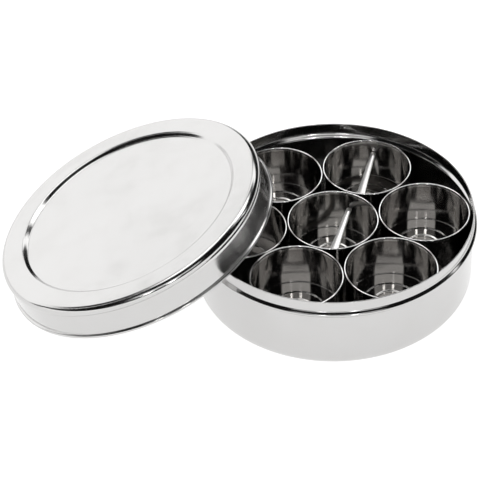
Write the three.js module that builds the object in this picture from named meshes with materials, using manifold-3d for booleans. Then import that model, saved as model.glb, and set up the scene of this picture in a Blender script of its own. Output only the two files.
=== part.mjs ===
// Masala dabba: a round stainless steel spice box with seven loose cups,
// two small spoons and a slip-on lid that leans against the open box.
// Millimetres, +Z up. The origin is the middle of the whole set's footprint, on the table.

import * as THREE from 'three';
import { mergeVertices } from 'three/addons/utils/BufferGeometryUtils.js';
import Module from 'manifold-3d';

const wasm = await Module();
wasm.setup();

// ---------------------------------------------------------------- driving dimensions

const SHEET = 0.8;              // steel of the box and the lid
const CUP_SHEET = 0.7;          // steel of the cups
const GAP = 0.3;                // air left between pieces that touch

const BOX_RADIUS = 100;         // outside of the wall and of the neck
const BOX_HEIGHT = 59.3;
const BOX_CORNER = 8;           // rounding between wall and foot
const BEAD_RADIUS = 102.4;      // outermost line of the bead that stops the lid
const BEAD_HEIGHT = 48.9;
const FOOT_INNER_RADIUS = 83;   // flat ring that the box stands on starts here
const BASE_RECESS = 8;          // how far the middle of the base is pressed up

const CUP_RADIUS = 32.65;       // outside of the lip
const CUP_HEIGHT = 39.5;
const CUP_BASE_RADIUS = 31.7;
const CUP_FLOOR = 6.1;          // underside of the floor, above the folded foot ring
const CUP_FOOT_THICKNESS = 1.7; // the wall is folded back up inside its foot
const CUP_FLOOR_CORNER = 1.2;   // rounding between floor and wall
const CUP_FLOOR_RING = 20.2;    // radius of the raised ring in the floor
const CUP_PITCH = 65.9;         // centre to centre
const CUP_RING_TURN = 3.5;      // degrees that the ring of cups is turned by

const LID_RADIUS = 100.9;       // outermost line of the rounded top edge
const LID_SKIRT_TOP = 100.4;    // the skirt opens slightly towards its rolled edge
const LID_SKIRT_BOTTOM = 101.3;
const LID_PANEL_RADIUS = 82.6;  // sunken middle panel of the lid
const LID_PANEL_DEPTH = 2.2;
const LID_ROLL = 1.4;           // radius of the rolled edge's section
const LID_ROLL_CENTRE = [101.6, -24.6];
const LID_LEAN = 20;            // degrees from flat
const LID_LEAN_HEADING = 176;   // direction that the lid's top faces
const LID_AT = [-146.5, 10.1];  // middle of the lid's top
const TABLE_CLEARANCE = 0.1;

const SPOON_SHEET = 1.0;
const SPOON_BOWL = [9.5, 8];    // half length, half width
const SPOON_BOWL_DEPTH = 3.4;
const SPOON_HANDLE = 50;        // bowl centre to the tip
const SPOON_NECK_WIDTH = 6.4;   // handle next to the bowl
const SPOON_TIP_WIDTH = 3.4;

const BIG_SEGMENTS = 48;
const CUP_SEGMENTS = 24;
const BOWL_SEGMENTS = 16;

const steel = (name, color, roughness) => {
  const material = new THREE.MeshStandardMaterial({ color, roughness, metalness: 1 });
  material.name = name;
  return material;
};
const satinSteel = steel('satin_steel', 0xcfcdca, 0.28);
const polishedSteel = steel('polished_steel', 0xc4c2be, 0.12);
const spoonSteel = steel('spoon_steel', 0xb9b7b2, 0.2);

// ---------------------------------------------------------------- profile helpers

const radians = THREE.MathUtils.degToRad;

// Points [r, z] on a round stretch of a profile, both ends included.
function arc(centreR, centreZ, radius, fromDegrees, toDegrees, steps) {
  const points = [];
  for (let i = 0; i <= steps; i += 1) {
    const angle = radians(fromDegrees + ((toDegrees - fromDegrees) * i) / steps);
    points.push([centreR + radius * Math.cos(angle), centreZ + radius * Math.sin(angle)]);
  }
  return points;
}

// The same path moved sideways to its left by one sheet thickness.
function offsetLeft(path, thickness) {
  return path.map((point, i) => {
    const before = path[Math.max(i - 1, 0)];
    const after = path[Math.min(i + 1, path.length - 1)];
    const into = new THREE.Vector2(point[0] - before[0], point[1] - before[1]).normalize();
    const out = new THREE.Vector2(after[0] - point[0], after[1] - point[1]).normalize();
    if (i === 0) into.copy(out);
    if (i === path.length - 1) out.copy(into);
    const normal = new THREE.Vector2(-into.y - out.y, into.x + out.x).normalize();
    const stretch = thickness / (-into.y * normal.x + into.x * normal.y);
    const r = i === 0 ? 0 : point[0] + normal.x * stretch;
    return [r, point[1] + normal.y * stretch];
  });
}

// Revolves a closed profile of [r, z] points about Z.
function revolve(profile, segments) {
  const points = profile.map(([r, z]) => new THREE.Vector2(Math.max(r, 0), z));
  const geometry = new THREE.LatheGeometry(points, segments);
  geometry.rotateX(Math.PI / 2);
  return geometry;
}

function mesh(name, geometry, material) {
  const piece = new THREE.Mesh(geometry, material);
  piece.name = name;
  return piece;
}

// ---------------------------------------------------------------- box

// Outer face from the middle of the base to the top of the neck.
function boxOuterFace() {
  const neckFoot = BEAD_HEIGHT + 2.9;
  return [
    [0, BASE_RECESS],
    [FOOT_INNER_RADIUS - 4, BASE_RECESS],
    [FOOT_INNER_RADIUS - 2.4, BASE_RECESS - 0.9],
    [FOOT_INNER_RADIUS - 1, 1],
    [FOOT_INNER_RADIUS, 0],
    ...arc(BOX_RADIUS - BOX_CORNER - 0.4, BOX_CORNER, BOX_CORNER, -90, 0, 4),
    [BOX_RADIUS, BEAD_HEIGHT - 3],
    [BEAD_RADIUS - 0.6, BEAD_HEIGHT - 1.2],
    [BEAD_RADIUS, BEAD_HEIGHT],
    [BEAD_RADIUS - 0.6, BEAD_HEIGHT + 1],
    [BOX_RADIUS + 0.5, BEAD_HEIGHT + 1.9],
    [BOX_RADIUS, neckFoot],
    [BOX_RADIUS, BOX_HEIGHT],
  ];
}

function makeBox() {
  const outer = boxOuterFace();
  const inner = offsetLeft(outer, SHEET).reverse();
  return mesh('box', revolve([...outer, ...inner], BIG_SEGMENTS), satinSteel);
}

// ---------------------------------------------------------------- cups

// Closed section, starting at the middle of the floor's underside.
const cupProfile = (() => {
  const lipFoot = CUP_HEIGHT - 1.6;
  const footInner = CUP_BASE_RADIUS - CUP_FOOT_THICKNESS;
  const wallInner = CUP_BASE_RADIUS - CUP_SHEET;
  const lipInner = CUP_RADIUS - 1.3;
  const floor = CUP_FLOOR + CUP_SHEET;
  const ringWidth = 0.7;
  const ringHeight = 0.5;
  const corner = arc(
    wallInner - CUP_FLOOR_CORNER, floor + CUP_FLOOR_CORNER, CUP_FLOOR_CORNER, 0, -90, 3,
  );
  return [
    [0, CUP_FLOOR],
    [footInner - 0.6, CUP_FLOOR],
    [footInner, CUP_FLOOR - 0.6],
    [footInner, 0.5],
    [footInner + 0.5, 0],
    [CUP_BASE_RADIUS - 0.6, 0],
    [CUP_BASE_RADIUS, 0.8],
    [CUP_RADIUS - 0.6, lipFoot],
    [CUP_RADIUS, lipFoot + 0.5],
    [CUP_RADIUS, CUP_HEIGHT],
    [lipInner, CUP_HEIGHT],
    [lipInner, CUP_HEIGHT - 1.1],
    ...corner,
    [CUP_FLOOR_RING + ringWidth, floor],
    [CUP_FLOOR_RING, floor + ringHeight],
    [CUP_FLOOR_RING - ringWidth, floor],
    [0, floor],
  ];
})();

const cupFloorZ = BASE_RECESS + SHEET + GAP;
const cupNames = ['right', 'rear_right', 'rear_left', 'left', 'front_left', 'front_right'];

// Middle of a cup's base: the centre cup, or one of the six around it.
function cupPlace(name) {
  const at = new THREE.Vector3(0, 0, cupFloorZ);
  if (name !== 'centre') {
    const angle = radians(CUP_RING_TURN + 60 * cupNames.indexOf(name));
    at.x = CUP_PITCH * Math.cos(angle);
    at.y = CUP_PITCH * Math.sin(angle);
  }
  return at;
}

function makeCup(name) {
  const cup = mesh(`cup_${name}`, revolve(cupProfile, CUP_SEGMENTS), polishedSteel);
  cup.position.copy(cupPlace(name));
  cup.rotation.z = radians(CUP_RING_TURN);
  return cup;
}

// ---------------------------------------------------------------- spoons

function solidFrom(geometry) {
  const bare = geometry.clone();
  bare.deleteAttribute('normal');
  bare.deleteAttribute('uv');
  const welded = mergeVertices(bare, 1e-4);
  return new wasm.Manifold(new wasm.Mesh({
    numProp: 3,
    vertProperties: new Float32Array(welded.attributes.position.array),
    triVerts: new Uint32Array(welded.index.array),
  }));
}

function geometryFrom(solid) {
  const { vertProperties, triVerts } = solid.getMesh();
  const geometry = new THREE.BufferGeometry();
  geometry.setAttribute('position', new THREE.BufferAttribute(vertProperties, 3));
  geometry.setIndex(new THREE.BufferAttribute(triVerts, 1));
  return geometry;
}

// A shallow dish: half lengths along X and Y, its rim at z = 0, opening upwards.
function spoonBowl() {
  const [halfLength, halfWidth] = SPOON_BOWL;
  const outer = [];
  const steps = 4;
  for (let i = 0; i <= steps; i += 1) {
    const r = halfLength * Math.sin((Math.PI / 2) * (i / steps));
    outer.push([r, -SPOON_BOWL_DEPTH * (1 - (r / halfLength) ** 2)]);
  }
  const inner = outer.map(([r, z]) => [r * (1 - SPOON_SHEET / halfLength), z + SPOON_SHEET]);
  inner[0][0] = 0;
  const dish = revolve([...outer, ...inner.reverse()], BOWL_SEGMENTS);
  dish.scale(1, halfWidth / halfLength, 1);
  return dish;
}

// A tapered strip with a shallow trough section that ends in a small turned-down tip.
function spoonHandle() {
  const halfWidth = SPOON_NECK_WIDTH / 2;
  const trough = new THREE.Shape();
  trough.moveTo(-halfWidth, 0.5);
  trough.quadraticCurveTo(0, -0.7, halfWidth, 0.5);
  trough.lineTo(halfWidth, 0.5 + SPOON_SHEET);
  trough.quadraticCurveTo(0, SPOON_SHEET - 0.7, -halfWidth, 0.5 + SPOON_SHEET);
  const neck = SPOON_BOWL[0] - 1.6;
  const path = new THREE.CatmullRomCurve3([
    new THREE.Vector3(neck, 0, -0.6),
    new THREE.Vector3(SPOON_BOWL[0] + 4, 0, 0.4),
    new THREE.Vector3(SPOON_HANDLE * 0.55, 0, 0.6),
    new THREE.Vector3(SPOON_HANDLE - 2.5, 0, 0.4),
    new THREE.Vector3(SPOON_HANDLE, 0, -1.4),
  ]);
  const handle = new THREE.ExtrudeGeometry(trough, {
    steps: 12,
    curveSegments: 4,
    extrudePath: path,
  });
  const { position } = handle.attributes;
  for (let i = 0; i < position.count; i += 1) {
    const along = (position.getX(i) - neck) / (SPOON_HANDLE - neck);
    const width = THREE.MathUtils.lerp(SPOON_NECK_WIDTH, SPOON_TIP_WIDTH, along);
    position.setY(i, (position.getY(i) * width) / SPOON_NECK_WIDTH);
  }
  return handle;
}

const spoonGeometry = geometryFrom(solidFrom(spoonBowl()).add(solidFrom(spoonHandle())));

// Leans a spoon in its cup: the bowl's centre is `bowl` from the middle of the cup's base,
// and the handle rises by `lean` degrees towards `heading`.
function makeSpoon(cupName, bowl, lean, heading) {
  const spoon = mesh(`spoon_${cupName}`, spoonGeometry, spoonSteel);
  spoon.rotation.order = 'ZYX';
  spoon.rotation.set(0, radians(-lean), radians(heading));
  spoon.position.copy(cupPlace(cupName)).add(bowl);
  return spoon;
}

// ---------------------------------------------------------------- lid

// Outer face from the middle of the top, over the rounded edge and down the skirt.
function lidProfile() {
  const [rollR, rollZ] = LID_ROLL_CENTRE;
  const outer = [
    [0, -LID_PANEL_DEPTH],
    [LID_PANEL_RADIUS - 3, -LID_PANEL_DEPTH],
    [LID_PANEL_RADIUS - 2, -LID_PANEL_DEPTH + 0.5],
    [LID_PANEL_RADIUS - 0.8, -0.3],
    [LID_PANEL_RADIUS, 0],
    ...arc(LID_RADIUS - 2.4, -2.4, 2.4, 90, 0, 3),
    [LID_RADIUS - 0.3, -3.9],
    [LID_SKIRT_TOP - 0.4, -5],
    [LID_SKIRT_TOP, -6.4],
    [LID_SKIRT_BOTTOM, rollZ + LID_ROLL + 0.4],
  ];
  const inner = offsetLeft(outer, -SHEET).reverse();
  const rolledEdge = arc(rollR, rollZ, LID_ROLL, 70, -160, 6);
  return [...outer, ...rolledEdge, ...inner].reverse();
}

// Height of the lid's top that leaves its rolled edge just clear of the table.
function lidHeight() {
  const lean = radians(LID_LEAN);
  const [rollR, rollZ] = LID_ROLL_CENTRE;
  return TABLE_CLEARANCE + LID_ROLL + rollR * Math.sin(lean) - rollZ * Math.cos(lean);
}

function makeLid() {
  const lid = mesh('lid', revolve(lidProfile(), BIG_SEGMENTS), satinSteel);
  lid.rotation.order = 'ZYX';
  lid.rotation.set(0, radians(LID_LEAN), radians(LID_LEAN_HEADING));
  lid.position.set(LID_AT[0], LID_AT[1], lidHeight());
  return lid;
}

// ---------------------------------------------------------------- the whole set

const set = new THREE.Group();
set.add(makeBox(), makeLid(), makeCup('centre'));
for (const name of cupNames) set.add(makeCup(name));
set.add(makeSpoon('centre', new THREE.Vector3(-4.5, -17.1, 12.2), 18.2, 67));
set.add(makeSpoon('rear_right', new THREE.Vector3(-8.8, -14.5, 12.2), 21.1, 69.3));

// Stand the set's footprint on the origin.
const extent = new THREE.Box3().setFromObject(set, true);
const middle = extent.getCenter(new THREE.Vector3());
set.position.set(-middle.x, -middle.y, 0);

const part = new THREE.Group();
part.add(set);
export default part;
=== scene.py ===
"""Looks of the masala dabba: a stainless steel spice box with seven cups, two spoons and its lid."""

import math

import bmesh
import bpy
from mathutils import Matrix, Vector


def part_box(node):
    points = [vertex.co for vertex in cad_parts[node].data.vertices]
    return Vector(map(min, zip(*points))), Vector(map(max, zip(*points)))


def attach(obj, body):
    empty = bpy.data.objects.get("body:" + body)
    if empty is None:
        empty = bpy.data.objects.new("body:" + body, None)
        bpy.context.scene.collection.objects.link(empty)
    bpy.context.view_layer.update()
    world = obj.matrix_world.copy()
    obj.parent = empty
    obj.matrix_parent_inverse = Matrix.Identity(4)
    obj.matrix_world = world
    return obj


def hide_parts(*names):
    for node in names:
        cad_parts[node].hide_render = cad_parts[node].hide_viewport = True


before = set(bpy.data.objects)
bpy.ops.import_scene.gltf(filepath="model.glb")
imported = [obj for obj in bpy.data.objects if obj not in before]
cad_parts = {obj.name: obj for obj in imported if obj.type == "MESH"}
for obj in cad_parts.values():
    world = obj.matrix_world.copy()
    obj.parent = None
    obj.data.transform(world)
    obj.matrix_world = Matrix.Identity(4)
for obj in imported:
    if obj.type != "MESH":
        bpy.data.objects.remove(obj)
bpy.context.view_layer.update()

# ------------------------------------------------------------------ sizes, in metres

MM = 0.001
SHEET = 0.8 * MM
CUP_SHEET = 0.7 * MM
BOX_RADIUS = 99.95 * MM
BOX_HEIGHT = 59.3 * MM
BOX_CORNER = 8 * MM
BEAD_RADIUS = 102.3 * MM
BEAD_HEIGHT = 48.9 * MM
BASE_RECESS = 8 * MM
FOOT_INNER_RADIUS = 83 * MM
CUP_RADIUS = 32.6 * MM
CUP_HEIGHT = 39.5 * MM
CUP_BASE_RADIUS = 31.7 * MM
CUP_FLOOR = 6.1 * MM
CUP_FOOT_INNER_RADIUS = 30 * MM
CUP_RING_RADIUS = 20.2 * MM
CUP_DISC_RADIUS = 11.0 * MM
LID_RADIUS = 100.7 * MM
LID_SKIRT_TOP = 100.2 * MM
LID_SKIRT_BOTTOM = 101.1 * MM
LID_PANEL_RADIUS = 82.6 * MM
LID_PANEL_DEPTH = 2.2 * MM
LID_ROLL = 1.35 * MM
LID_ROLL_RADIUS = 101.4 * MM
LID_ROLL_DEPTH = 24.6 * MM
LID_LEAN = math.radians(20)
LID_HEADING = math.radians(176)
RING = ("right", "rear_right", "rear_left", "left", "front_left", "front_right")
SEGMENTS = 288
CUP_SEGMENTS = 192
ON_AXIS = 1e-7
SAME_POINT = 1e-6

# ------------------------------------------------------------------ places, from the frame


def middle(node):
    low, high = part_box(node)
    return (Vector(low) + Vector(high)) / 2


def lowest(node):
    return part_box(node)[0][2]


box_axis = middle("box")
box_axis.z = 0

# ------------------------------------------------------------------ mesh helpers


def arc(centre_r, centre_z, radius, start, end, steps):
    """Points (r, z) on a round stretch of a profile, from one angle to another in degrees."""
    points = []
    for i in range(steps + 1):
        angle = math.radians(start + (end - start) * i / steps)
        points.append((centre_r + radius * math.cos(angle), centre_z + radius * math.sin(angle)))
    return points


def rounded(points, steps=5):
    """An open path whose corners are rounded; a third number in a point is the reach of its rounding."""
    path = [points[0][:2]]
    for before, corner, after in zip(points, points[1:], points[2:]):
        here, back, ahead = (Vector(p[:2]) for p in (corner, before, after))
        reach = corner[2] if len(corner) > 2 else 0.4 * MM
        start = here + (back - here).normalized() * min(reach, (back - here).length * 0.48)
        end = here + (ahead - here).normalized() * min(reach, (ahead - here).length * 0.48)
        for i in range(steps + 1):
            t = i / steps
            path.append(tuple(start.lerp(here, t).lerp(here.lerp(end, t), t)))
    return path + [points[-1][:2]]


def supported(profile, near=0.15 * MM):
    """Adds points close to both ends of every long straight stretch, so that it is shaded flat."""
    path = [profile[0]]
    for a, b in zip(profile, profile[1:]):
        a, b = Vector(a), Vector(b)
        length = (b - a).length
        if length > 6 * near:
            path += [tuple(a.lerp(b, near / length)), tuple(b.lerp(a, near / length))]
        path.append(tuple(b))
    return path


def offset_left(path, thickness):
    """The same path moved to its left by one sheet thickness."""
    moved = []
    for i, point in enumerate(path):
        here = Vector(point)
        before = Vector(path[max(i - 1, 0)])
        after = Vector(path[min(i + 1, len(path) - 1)])
        along = (after - before).normalized()
        moved.append((here.x - along.y * thickness, here.y + along.x * thickness))
    return moved


def sheet_profile(outer, thickness):
    """A closed profile of bent sheet from its outer face, with a rounded free edge."""
    steps = [(Vector(b) - Vector(a)).length for a, b in zip(outer, outer[1:])]
    outer = [outer[0]] + [point for point, step in zip(outer[1:], steps) if step > SAME_POINT]
    inner = offset_left(outer, thickness)
    inner[0] = (0, inner[0][1])
    end = (Vector(outer[-1]) + Vector(inner[-1])) / 2
    along = (Vector(outer[-1]) - Vector(outer[-2])).normalized()
    tip = end + along * abs(thickness) * 0.4
    return outer + [tuple(tip)] + inner[::-1]


def lathe(name, profile, segments=SEGMENTS):
    """Revolves a profile about Z. Its UV is the share of a turn, and metres along the profile."""
    profile = supported(profile)
    mesh = bpy.data.meshes.new(name)
    bm = bmesh.new()
    uv = bm.loops.layers.uv.new("spun")
    turn = 2 * math.pi / segments
    rings = []
    runs = [0]
    for before, after in zip(profile, profile[1:]):
        runs.append(runs[-1] + (Vector(after) - Vector(before)).length)
    for r, z in profile:
        angles = [k * turn for k in range(1 if r < ON_AXIS else segments)]
        rings.append([bm.verts.new((r * math.cos(a), r * math.sin(a), z)) for a in angles])
    for i in range(len(rings) - 1):
        a, b = rings[i], rings[i + 1]
        for k in range(segments):
            n = (k + 1) % segments
            corners = [
                (a[k % len(a)], k, i),
                (a[n % len(a)], k + 1, i),
                (b[n % len(b)], k + 1, i + 1),
                (b[k % len(b)], k, i + 1),
            ]
            kept = []
            for corner in corners:
                if corner[0] not in [c[0] for c in kept]:
                    kept.append(corner)
            if len(kept) < 3:
                continue
            face = bm.faces.new([c[0] for c in kept])
            face.smooth = True
            for loop, corner in zip(face.loops, kept):
                loop[uv].uv = (corner[1] / segments, runs[corner[2]])
    bmesh.ops.recalc_face_normals(bm, faces=bm.faces)
    bm.to_mesh(mesh)
    bm.free()
    piece = bpy.data.objects.new(name, mesh)
    bpy.context.collection.objects.link(piece)
    return piece


def place(piece, matrix):
    piece.data.transform(matrix)
    piece.data.update()


def stand_for(piece, node, material):
    """Rides a piece on its node's body in place of the node."""
    piece.data.materials.append(material)
    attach(piece, node)
    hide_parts(node)


# ------------------------------------------------------------------ materials


class Nodes:
    """A short way to write a node tree."""

    def __init__(self, tree):
        self.tree = tree

    def add(self, kind, settings=None, **inputs):
        node = self.tree.nodes.new("ShaderNode" + kind)
        for key, value in (settings or {}).items():
            setattr(node, key, value)
        for key, value in inputs.items():
            socket = node.inputs[int(key[1:])] if key[0] == "_" else node.inputs[key.replace("_", " ")]
            if isinstance(value, bpy.types.NodeSocket):
                self.tree.links.new(value, socket)
            else:
                socket.default_value = value
        return node

    def math(self, operation, a, b=0.0):
        return self.add("Math", {"operation": operation}, _0=a, _1=b).outputs[0]

    def ramp(self, value, low, high, to_low=0.0, to_high=1.0):
        settings = {"interpolation_type": "SMOOTHSTEP"}
        ends = {"From_Min": low, "From_Max": high, "To_Min": to_low, "To_Max": to_high}
        return self.add("MapRange", settings, Value=value, **ends).outputs[0]


RING_LINES = 2600.0
STREAKS_AROUND = 26.0
STREAKS_ALONG = 1500.0
CLOUD_SCALE = 38.0
SPECK_SCALE = 420.0
LINE_DEPTH = 0.02 * MM
# soft ends and near-white colour of the painted highlight on the cup lips
LIP_HIGHLIGHT_FADE = 0.3 * MM
LIP_HIGHLIGHT_COLOR = (0.96, 0.955, 0.95, 1)
GRAIN_TURN = 0.25


def steel(name, color, roughness, grain, ring_depth, smudge, edge=None):
    """Spun steel: its polishing lines run around it, so it smears what it mirrors across them.

    The edge is a stretch of the profile, in metres along it, that gets a near-white colour as a painted
    highlight on the lip."""
    material = bpy.data.materials.new(name)
    material.use_nodes = True
    material.node_tree.nodes.clear()
    n = Nodes(material.node_tree)
    uv = n.add("UVMap", {"uv_map": "spun"}).outputs[0]
    split = n.add("SeparateXYZ", _0=uv)
    around, along = split.outputs[0], split.outputs[1]
    place_in_piece = n.add("TexCoord").outputs["Object"]

    ring_place = n.math("MULTIPLY", along, RING_LINES)
    rings = n.add("TexNoise", {"noise_dimensions": "1D"}, W=ring_place, Detail=2.0)
    streak_x = n.math("MULTIPLY", around, STREAKS_AROUND)
    streak_y = n.math("MULTIPLY", along, STREAKS_ALONG)
    stretched = n.add("CombineXYZ", _0=streak_x, _1=streak_y)
    streaks = n.add("TexNoise", Vector=stretched.outputs[0], Scale=1.0, Detail=3.0)
    clouds = n.add("TexNoise", Vector=place_in_piece, Scale=CLOUD_SCALE, Detail=3.0, Roughness=0.6)
    marks = n.add("TexNoise", Vector=place_in_piece, Scale=SPECK_SCALE, Detail=2.0)

    worn = n.ramp(clouds.outputs[0], 0.42, 0.7, 0.0, smudge)
    fine = n.ramp(streaks.outputs[0], 0.45, 0.8, 0.0, smudge * 0.7)
    speck = n.ramp(marks.outputs[0], 0.62, 0.8, 0.0, smudge * 0.5)
    rough = n.math("ADD", n.math("ADD", worn, fine), n.math("ADD", speck, roughness))
    tint = n.add("Mix", {"data_type": "RGBA"}, _0=n.ramp(clouds.outputs[0], 0.35, 0.75))
    tint.inputs[6].default_value = (*color, 1)
    tint.inputs[7].default_value = (color[0] * 0.985, color[1] * 0.983, color[2] * 0.98, 1)
    base = tint.outputs[2]
    # painted highlight: a near-white base colour over the edge stretch makes the lip read as a bright
    # rim
    if edge:
        start = n.ramp(along, edge[0], edge[0] + LIP_HIGHLIGHT_FADE)
        inside = n.math("MULTIPLY", start, n.ramp(along, edge[1], edge[1] - LIP_HIGHLIGHT_FADE))
        lip_highlight = n.add("Mix", {"data_type": "RGBA"}, _0=inside)
        n.tree.links.new(base, lip_highlight.inputs[6])
        lip_highlight.inputs[7].default_value = LIP_HIGHLIGHT_COLOR
        base = lip_highlight.outputs[2]
    height = n.math("ADD", rings.outputs[0], n.math("MULTIPLY", streaks.outputs[0], 0.8))
    bump = n.add("Bump", Strength=ring_depth, Distance=LINE_DEPTH, Height=height)
    tangent = n.add("Tangent", {"direction_type": "UV_MAP", "uv_map": "spun"})
    shader = n.add("BsdfPrincipled", Metallic=1.0, Roughness=rough, Anisotropic=grain)
    n.tree.links.new(bump.outputs[0], shader.inputs["Normal"])
    shader.inputs["Anisotropic Rotation"].default_value = GRAIN_TURN
    n.tree.links.new(tangent.outputs[0], shader.inputs["Tangent"])
    n.tree.links.new(base, shader.inputs["Base Color"])
    out = n.add("OutputMaterial")
    n.tree.links.new(shader.outputs[0], out.inputs[0])
    return material


# the stretch of a cup's profile that is its lip, which gets a painted highlight
CUP_LIP = (75.8 * MM, 80.3 * MM)
satin = steel("satin_steel", (0.615, 0.61, 0.605), 0.12, 0.6, 0.2, 0.05)
polished = steel("polished_steel", (0.44, 0.43, 0.418), 0.09, 0.95, 0.06, 0.02, edge=CUP_LIP)
spoon_steel = steel("spoon_steel", (0.80, 0.79, 0.775), 0.30, 0.3, 0.15, 0.05)

# ------------------------------------------------------------------ box


def make_box():
    outer = rounded([
        (0, BASE_RECESS),
        (FOOT_INNER_RADIUS - 3 * MM, BASE_RECESS, 1.6 * MM),
        (FOOT_INNER_RADIUS - 1 * MM, 0, 1.6 * MM),
        (FOOT_INNER_RADIUS + 2 * MM, 0),
    ])
    outer += arc(BOX_RADIUS - BOX_CORNER, BOX_CORNER, BOX_CORNER, -90, 0, 18)
    outer += rounded([
        (BOX_RADIUS, BOX_CORNER + 1 * MM),
        (BOX_RADIUS, BEAD_HEIGHT - 3 * MM, 0.9 * MM),
        (BEAD_RADIUS, BEAD_HEIGHT - 0.6 * MM, 1.1 * MM),
        (BEAD_RADIUS, BEAD_HEIGHT + 0.6 * MM, 0.8 * MM),
        (BOX_RADIUS, BEAD_HEIGHT + 2.4 * MM, 0.8 * MM),
        (BOX_RADIUS, BOX_HEIGHT - 0.3 * MM),
    ])
    piece = lathe("box_pan", sheet_profile(outer, SHEET))
    place(piece, Matrix.Translation(box_axis))
    stand_for(piece, "box", satin)


# ------------------------------------------------------------------ cups


def cup_profile():
    """A raised flat floor in a folded foot, a straight wall, a rolled lip and pressed rings inside."""
    lip = CUP_HEIGHT - 1.4 * MM
    floor = CUP_FLOOR + CUP_SHEET
    ring, disc = CUP_RING_RADIUS, CUP_DISC_RADIUS
    return rounded([
        (0, CUP_FLOOR),
        (CUP_FOOT_INNER_RADIUS, CUP_FLOOR, 0.8 * MM),
        (CUP_FOOT_INNER_RADIUS, 0, 0.5 * MM),
        (CUP_BASE_RADIUS, 0, 0.7 * MM),
        (CUP_RADIUS - 0.6 * MM, lip - 0.3 * MM, 0.25 * MM),
        (CUP_RADIUS, lip, 0.25 * MM),
        (CUP_RADIUS, CUP_HEIGHT, 0.6 * MM),
        (CUP_RADIUS - 1.0 * MM, CUP_HEIGHT, 0.45 * MM),
        (CUP_RADIUS - 1.2 * MM, lip, 0.3 * MM),
        (CUP_BASE_RADIUS - CUP_SHEET, floor, 0.7 * MM),
        (ring + 0.7 * MM, floor, 0.35 * MM),
        (ring, floor + 0.55 * MM, 0.35 * MM),
        (ring - 0.7 * MM, floor, 0.2 * MM),
        (ring - 1.0 * MM, floor, 0.3 * MM),
        (disc + 1.6 * MM, floor + 0.5 * MM, 0.5 * MM),
        (disc + 0.5 * MM, floor - 0.05 * MM, 0.5 * MM),
        (disc - 0.6 * MM, floor + 0.35 * MM, 0.5 * MM),
        (0, floor + 0.35 * MM),
    ])


def make_cups():
    profile = cup_profile()
    for name in ("centre", *RING):
        node = "cup_" + name
        piece = lathe(node + "_steel", profile, CUP_SEGMENTS)
        at = middle(node)
        at.z = lowest(node)
        place(piece, Matrix.Translation(at))
        stand_for(piece, node, polished)


# ------------------------------------------------------------------ lid


def make_lid():
    outer = rounded([
        (0, -LID_PANEL_DEPTH),
        (LID_PANEL_RADIUS - 3.0 * MM, -LID_PANEL_DEPTH, 0.9 * MM),
        (LID_PANEL_RADIUS, 0, 0.9 * MM),
        (LID_PANEL_RADIUS + 3 * MM, 0),
    ])
    edge = 4.4 * MM
    outer += arc(LID_RADIUS - edge, -edge, edge, 90, 0, 12)
    outer += rounded([
        (LID_RADIUS, -4.6 * MM),
        (LID_RADIUS - 0.2 * MM, -5.4 * MM, 0.5 * MM),
        (LID_SKIRT_TOP - 0.3 * MM, -6.1 * MM, 0.5 * MM),
        (LID_SKIRT_TOP, -7.4 * MM, 0.8 * MM),
        (LID_SKIRT_BOTTOM - 0.1 * MM, -LID_ROLL_DEPTH + LID_ROLL + 0.5 * MM),
    ])
    inner = offset_left(outer, -SHEET)
    inner[0] = (0, inner[0][1])
    roll = arc(LID_ROLL_RADIUS, -LID_ROLL_DEPTH, LID_ROLL, 96, -170, 22)
    piece = lathe("lid_cover", outer + roll + inner[::-1])
    turn = Matrix.Rotation(LID_HEADING, 4, "Z") @ Matrix.Rotation(LID_LEAN, 4, "Y")
    place(piece, turn)
    centre_on(piece, "lid")
    stand_for(piece, "lid", satin)


def centre_on(piece, node):
    """Moves a turned piece so that its box shares its middle with the node's box."""
    points = [v.co for v in piece.data.vertices]
    low = Vector([min(p[i] for p in points) for i in range(3)])
    high = Vector([max(p[i] for p in points) for i in range(3)])
    place(piece, Matrix.Translation(middle(node) - (low + high) / 2))


# ------------------------------------------------------------------ spoons

BOWL_HALF = 9.5 * MM
BOWL_WIDTH = 8.0 * MM
BOWL_DEPTH = 3.3 * MM
SPOON_LENGTH = BOWL_HALF + 49.9 * MM
NECK_WIDTH = 3.3 * MM
TIP_WIDTH = 2.0 * MM
SPOON_SHEET = 0.9 * MM
SPOON_EDGE = 0.25 * MM
SHARP_ANGLE = math.radians(50)


def spoon_station(s):
    """Half width, dish depth and height of the spoon's edge at s metres from the bowl's nose."""
    bowl_end = 2 * BOWL_HALF
    from_middle = (s - BOWL_HALF) / BOWL_HALF
    bowl_width = BOWL_WIDTH * math.sqrt(max(0.0, 1 - from_middle**2))
    along = max(0.0, (s - bowl_end) / (SPOON_LENGTH - bowl_end))
    handle_width = NECK_WIDTH + (TIP_WIDTH - NECK_WIDTH) * along**0.7
    end = min(1.0, (SPOON_LENGTH - s) / (1.6 * MM))
    handle_width *= math.sqrt(max(0.0, 1 - (1 - end) ** 2))
    blend = min(1.0, max(0.0, (s - 1.2 * BOWL_HALF) / (0.8 * BOWL_HALF)))
    width = (bowl_width**4 + (handle_width * blend) ** 4) ** 0.25
    share = min(1.0, bowl_width / BOWL_WIDTH)
    depth = BOWL_DEPTH * share**1.6 + 0.4 * MM * blend * end
    tip = max(0.0, 1 - (SPOON_LENGTH - s) / (4 * MM))
    return width, depth, -1.6 * MM * tip**2


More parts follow.
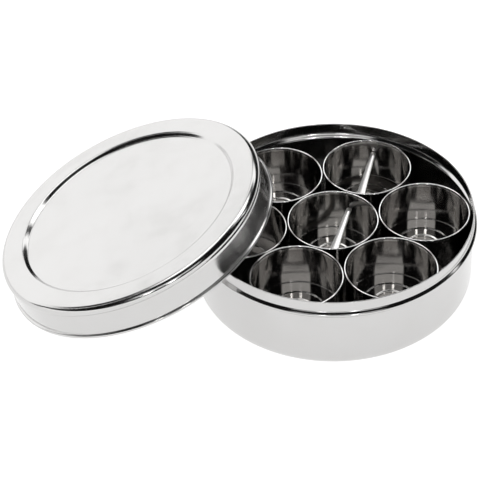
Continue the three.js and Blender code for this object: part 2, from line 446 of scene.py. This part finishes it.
def make_spoon(name):
    mesh = bpy.data.meshes.new(name)
    bm = bmesh.new()
    uv = bm.loops.layers.uv.new("spun")
    stations, across = 96, 14
    rows = []
    for i in range(stations + 1):
        s = SPOON_LENGTH * (0.5 - 0.5 * math.cos(math.pi * i / stations))
        width, depth, height = spoon_station(s)
        width = max(width, 0.15 * MM)
        row = []
        for k in range(across + 1):
            t = -1 + 2 * k / across
            row.append(bm.verts.new((s - BOWL_HALF, width * t, height - depth * (1 - t * t))))
        rows.append(row)
    for i in range(stations):
        for k in range(across):
            face = bm.faces.new([rows[i][k], rows[i + 1][k], rows[i + 1][k + 1], rows[i][k + 1]])
            face.smooth = True
            for loop in face.loops:
                loop[uv].uv = (loop.vert.co.y, loop.vert.co.x)
    bm.to_mesh(mesh)
    bm.free()
    piece = bpy.data.objects.new(name, mesh)
    bpy.context.collection.objects.link(piece)
    solid = piece.modifiers.new("sheet", "SOLIDIFY")
    solid.thickness = SPOON_SHEET
    solid.offset = 1
    bevel = piece.modifiers.new("edge", "BEVEL")
    bevel.width = SPOON_EDGE
    bevel.segments = 3
    bevel.limit_method = "ANGLE"
    bevel.angle_limit = SHARP_ANGLE
    bpy.context.view_layer.update()
    final = bpy.data.meshes.new_from_object(piece.evaluated_get(bpy.context.evaluated_depsgraph_get()))
    piece.modifiers.clear()
    piece.data = final
    for polygon in final.polygons:
        polygon.use_smooth = True
    return piece


def make_spoons():
    for cup, bowl, lean, heading in (
        ("centre", (-4.5 * MM, -17.1 * MM, 12.2 * MM), 18.2, 67),
        ("rear_right", (-8.8 * MM, -14.5 * MM, 12.2 * MM), 21.1, 69.3),
    ):
        node = "spoon_" + cup
        piece = make_spoon(node + "_steel")
        turn = Matrix.Rotation(math.radians(heading), 4, "Z")
        turn = turn @ Matrix.Rotation(-math.radians(lean), 4, "Y")
        at = middle("cup_" + cup)
        at.z = lowest("cup_" + cup)
        place(piece, Matrix.Translation(at + Vector(bowl)) @ turn)
        stand_for(piece, node, spoon_steel)


# ------------------------------------------------------------------ studio


FLOOR_SIZE = 9
FLOOR_HEIGHT = -0.4 * MM


def make_floor():
    bpy.ops.mesh.primitive_plane_add(size=FLOOR_SIZE, location=(0, 0, FLOOR_HEIGHT))
    floor = bpy.context.object
    floor.name = "floor"
    material = bpy.data.materials.new("paper")
    material.use_nodes = True
    shader = material.node_tree.nodes["Principled BSDF"]
    shader.inputs["Base Color"].default_value = (0.30, 0.30, 0.30, 1)
    shader.inputs["Roughness"].default_value = 0.9
    shader.inputs["Specular IOR Level"].default_value = 0.0
    shader.inputs["Emission Color"].default_value = (1, 1, 1, 1)
    shader.inputs["Emission Strength"].default_value = 0.92
    floor.data.materials.append(material)


def area_light(name, at, size, power, aim=(0, 0, 0.03)):
    data = bpy.data.lights.new(name, "AREA")
    data.shape = "SQUARE"
    data.size = size
    data.energy = power
    lamp = bpy.data.objects.new(name, data)
    lamp.location = at
    lamp.rotation_euler = (Vector(aim) - Vector(at)).to_track_quat("-Z", "Y").to_euler()
    lamp.visible_glossy = False
    bpy.context.collection.objects.link(lamp)


DARK_ROOM = 0.006


def make_world():
    """What the steel mirrors: a pale room low at the back, a dark top, soft boxes and grey cards."""
    world = bpy.data.worlds.new("studio")
    bpy.context.scene.world = world
    world.use_nodes = True
    world.node_tree.nodes.clear()
    n = Nodes(world.node_tree)
    direction = n.add("TexCoord").outputs["Generated"]
    x, y, z = n.add("SeparateXYZ", _0=direction).outputs
    signed = n.math("ARCTAN2", x, n.math("MULTIPLY", y, -1.0))
    from_front = n.math("ABSOLUTE", signed)
    height = n.math("ARCSINE", z)

    def band(value, low, high, soft):
        rise = n.ramp(value, low - soft, low + soft)
        return n.math("MULTIPLY", rise, n.ramp(value, high + soft, high - soft))

    def card(azimuths, heights, strength, soft=2.0, around=from_front):
        across = band(around, *(math.radians(a) for a in azimuths), math.radians(soft))
        up = band(height, *(math.radians(a) for a in heights), math.radians(soft))
        return n.math("MULTIPLY", n.math("MULTIPLY", across, up), strength)

    def soft_box(azimuth, elevation, radius, strength):
        toward = (
            math.sin(math.radians(azimuth)) * math.cos(math.radians(elevation)),
            -math.cos(math.radians(azimuth)) * math.cos(math.radians(elevation)),
            math.sin(math.radians(elevation)),
        )
        compare = n.add("VectorMath", {"operation": "DOT_PRODUCT"}, _0=direction, _1=toward)
        outer = math.cos(math.radians(radius * 1.25))
        inner = math.cos(math.radians(radius * 0.75))
        return n.math("MULTIPLY", n.ramp(compare.outputs["Value"], outer, inner), strength)

    parts = [
        card((-10, 200), (-95, 4), 0.9),
        card((-178, -105), (4, 31), 1.37, around=signed),
        card((145, 190), (34, 44), 1.6),
        card((120, 190), (52, 68), 2.4),
        card((-10, 38), (36, 50), 1.2),
        card((100, 105), (28, 60), 1.6),
        card((-10, 95), (3, 10), 1.8, soft=4.0),
        soft_box(12, 30.4, 2.7, 16.0),
        soft_box(-12, 30.4, 2.7, 16.0),
        soft_box(-135, 71, 14, 1.0),
    ]
    total = parts[0]
    for part in parts[1:]:
        total = n.math("ADD", total, part)
    total = n.math("ADD", total, DARK_ROOM)
    background = n.add("Background", Strength=total)
    background.inputs[0].default_value = (1, 1, 1, 1)
    out = n.add("OutputWorld")
    n.tree.links.new(background.outputs[0], out.inputs[0])


CAMERA_FROM_BOX = Vector((-0.0671, -0.9818, 0.8699))
TARGET_FROM_BOX = Vector((-0.0671, 0.0395, 0.0))
CAMERA_ROLL = math.radians(2.88)
LENS = 134.4


def make_camera():
    data = bpy.data.cameras.new("camera")
    data.lens = LENS
    data.sensor_width = 36
    camera = bpy.data.objects.new("camera", data)
    bpy.context.collection.objects.link(camera)
    at = box_axis + CAMERA_FROM_BOX
    look = (box_axis + TARGET_FROM_BOX - at).normalized()
    turn = look.to_track_quat("-Z", "Y").to_matrix().to_4x4()
    camera.matrix_world = Matrix.Translation(at) @ turn @ Matrix.Rotation(-CAMERA_ROLL, 4, "Z")
    bpy.context.scene.camera = camera


make_camera()
make_floor()
make_world()
area_light("key", (0.5, -0.8, 2.2), 2.4, 8)
area_light("fill", (-1.6, 0.6, 1.8), 2.0, 3)
bpy.context.scene.view_settings.view_transform = "Standard"
make_box()
make_cups()
make_lid()
make_spoons()
